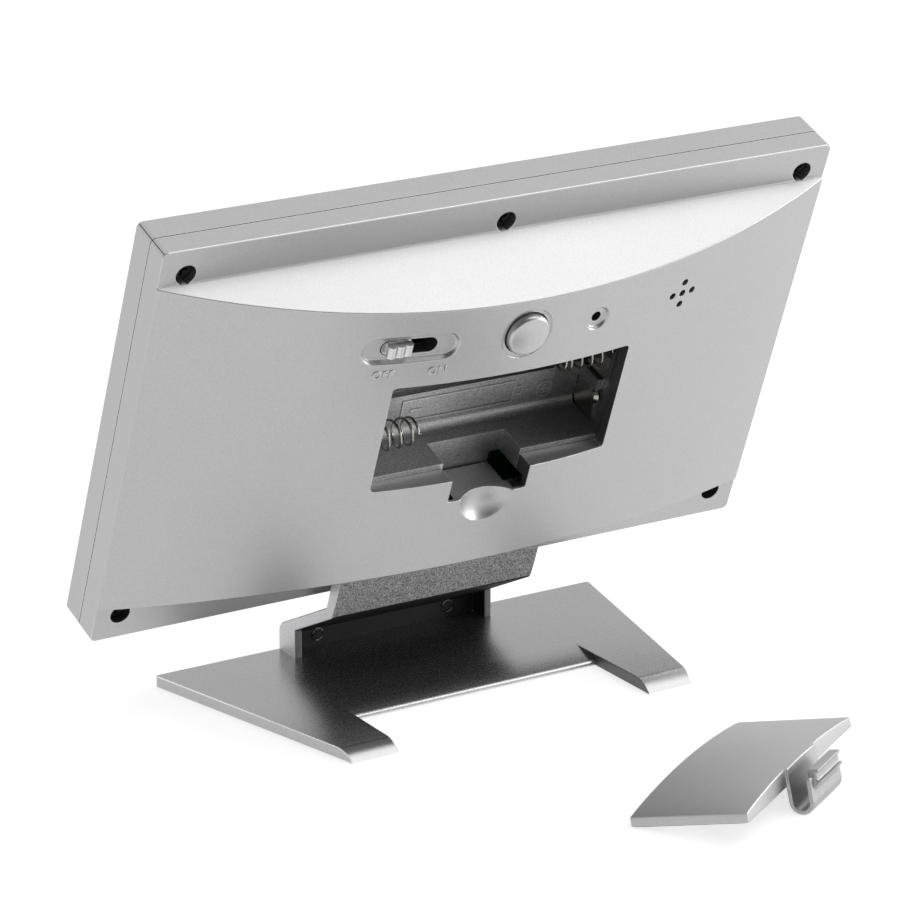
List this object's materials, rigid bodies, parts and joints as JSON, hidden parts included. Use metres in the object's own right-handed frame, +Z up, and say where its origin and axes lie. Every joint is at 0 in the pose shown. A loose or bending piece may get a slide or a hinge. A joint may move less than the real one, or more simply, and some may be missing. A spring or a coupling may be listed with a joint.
{
  "type": "desk clock",
  "caption": "Leaning flat desk clock with a display, rear controls, open battery bay, loose battery cover, neck and forked base.",
  "frame": {"origin": "middle of the base plate's footprint, on the surface that the clock stands on", "axes": "+Z up, the display faces -Y, +X is the display's left side seen from the back"},
  "size_m": [0.145, 0.1247, 0.1053],
  "materials": {
    "silver_shell": "satin silver lacquer on plastic",
    "silver_base": "satin silver lacquer on plastic",
    "silver_keys": "satin silver lacquer on plastic",
    "silver_tray": "silver-grey moulded plastic",
    "window": "clear acrylic",
    "lcd": "grey-green liquid crystal glass",
    "black_frame": "black moulded plastic",
    "light_guide": "milky acrylic",
    "lamp": "moulded resin",
    "zebra": "silicone",
    "board": "green lacquered board",
    "resin": "black resin",
    "black_part": "black moulded plastic",
    "can": "nickel plated",
    "mat": "grey silicone",
    "contact": "nickel plated",
    "spring": "nickel plated wire",
    "brass_disc": "bare brass",
    "ceramic": "silvered ceramic",
    "wire": "insulated wire",
    "black_screw": "black oxide",
    "bright_screw": "zinc plated",
    "neck": "dark grey, finely textured",
    "pad": "soft foam rubber"
  },
  "bodies": {
    "clock": {"front_bezel": "silver_shell", "display_window": "window", "lcd_glass": "lcd", "lcd_frame": "black_frame", "backlight_panel": "light_guide", "backlight_lamps": "lamp", "contact_strip": "zebra", "main_board": "board", "chip_blob": "resin", "quartz_crystal": "can", "key_mat": "mat", "rear_cover": "silver_shell", "battery_tray": "silver_tray", "link_contact": "contact", "plus_contact": "contact", "minus_contact": "contact", "lower_cell_spring": "spring", "upper_cell_spring": "spring", "control_board": "board", "board_header": "black_part", "light_switch": "black_part", "reset_switch": "black_part", "slide_switch": "can", "sounder_plate": "brass_disc", "sounder_disc": "ceramic", "sounder_wires": "wire", "case_screws": "black_screw", "board_screws": "bright_screw", "neck_screws": "bright_screw", "stand_neck": "neck", "base_plate": "silver_base", "base_pads": "pad"},
    "light_button": {"light_button": "silver_keys"},
    "switch_knob": {"switch_knob": "silver_keys"},
    "reset_plunger": {"reset_plunger": "black_part"},
    "mode_key": {"mode_key": "silver_keys"},
    "set_key": {"set_key": "silver_keys"},
    "plus_key": {"plus_key": "silver_keys"},
    "minus_key": {"minus_key": "silver_keys"},
    "battery_cover": {"battery_cover": "silver_shell"}
  },
  "joints": [
    {"name": "light_press", "type": "slide", "parent": "clock", "child": "light_button", "axis": [0, -0.9326, 0.3608], "range_m": [0, 0.0006], "stiffness_N_per_m": 800, "springref_m": -0.001},
    {"name": "alarm_slide", "type": "slide", "parent": "clock", "child": "switch_knob", "axis": [-1, 0, 0], "range_m": [0, 0.0046]},
    {"name": "reset_press", "type": "slide", "parent": "clock", "child": "reset_plunger", "axis": [0, -0.9326, 0.3608], "range_m": [0, 0.0003], "stiffness_N_per_m": 1000, "springref_m": -0.0005},
    {"name": "mode_press", "type": "slide", "parent": "clock", "child": "mode_key", "axis": [0, 0.9326, -0.3608], "range_m": [0, 0.0008], "stiffness_N_per_m": 700, "springref_m": -0.001},
    {"name": "set_press", "type": "slide", "parent": "clock", "child": "set_key", "axis": [0, 0.9326, -0.3608], "range_m": [0, 0.0008], "stiffness_N_per_m": 700, "springref_m": -0.001},
    {"name": "plus_press", "type": "slide", "parent": "clock", "child": "plus_key", "axis": [0, 0.9326, -0.3608], "range_m": [0, 0.0008], "stiffness_N_per_m": 700, "springref_m": -0.001},
    {"name": "minus_press", "type": "slide", "parent": "clock", "child": "minus_key", "axis": [0, 0.9326, -0.3608], "range_m": [0, 0.0008], "stiffness_N_per_m": 700, "springref_m": -0.001},
    {"name": "cover_lift", "type": "slide", "parent": "clock", "child": "battery_cover", "axis": [0, 0, 1], "range_m": [0, 0.06]}
  ]
}
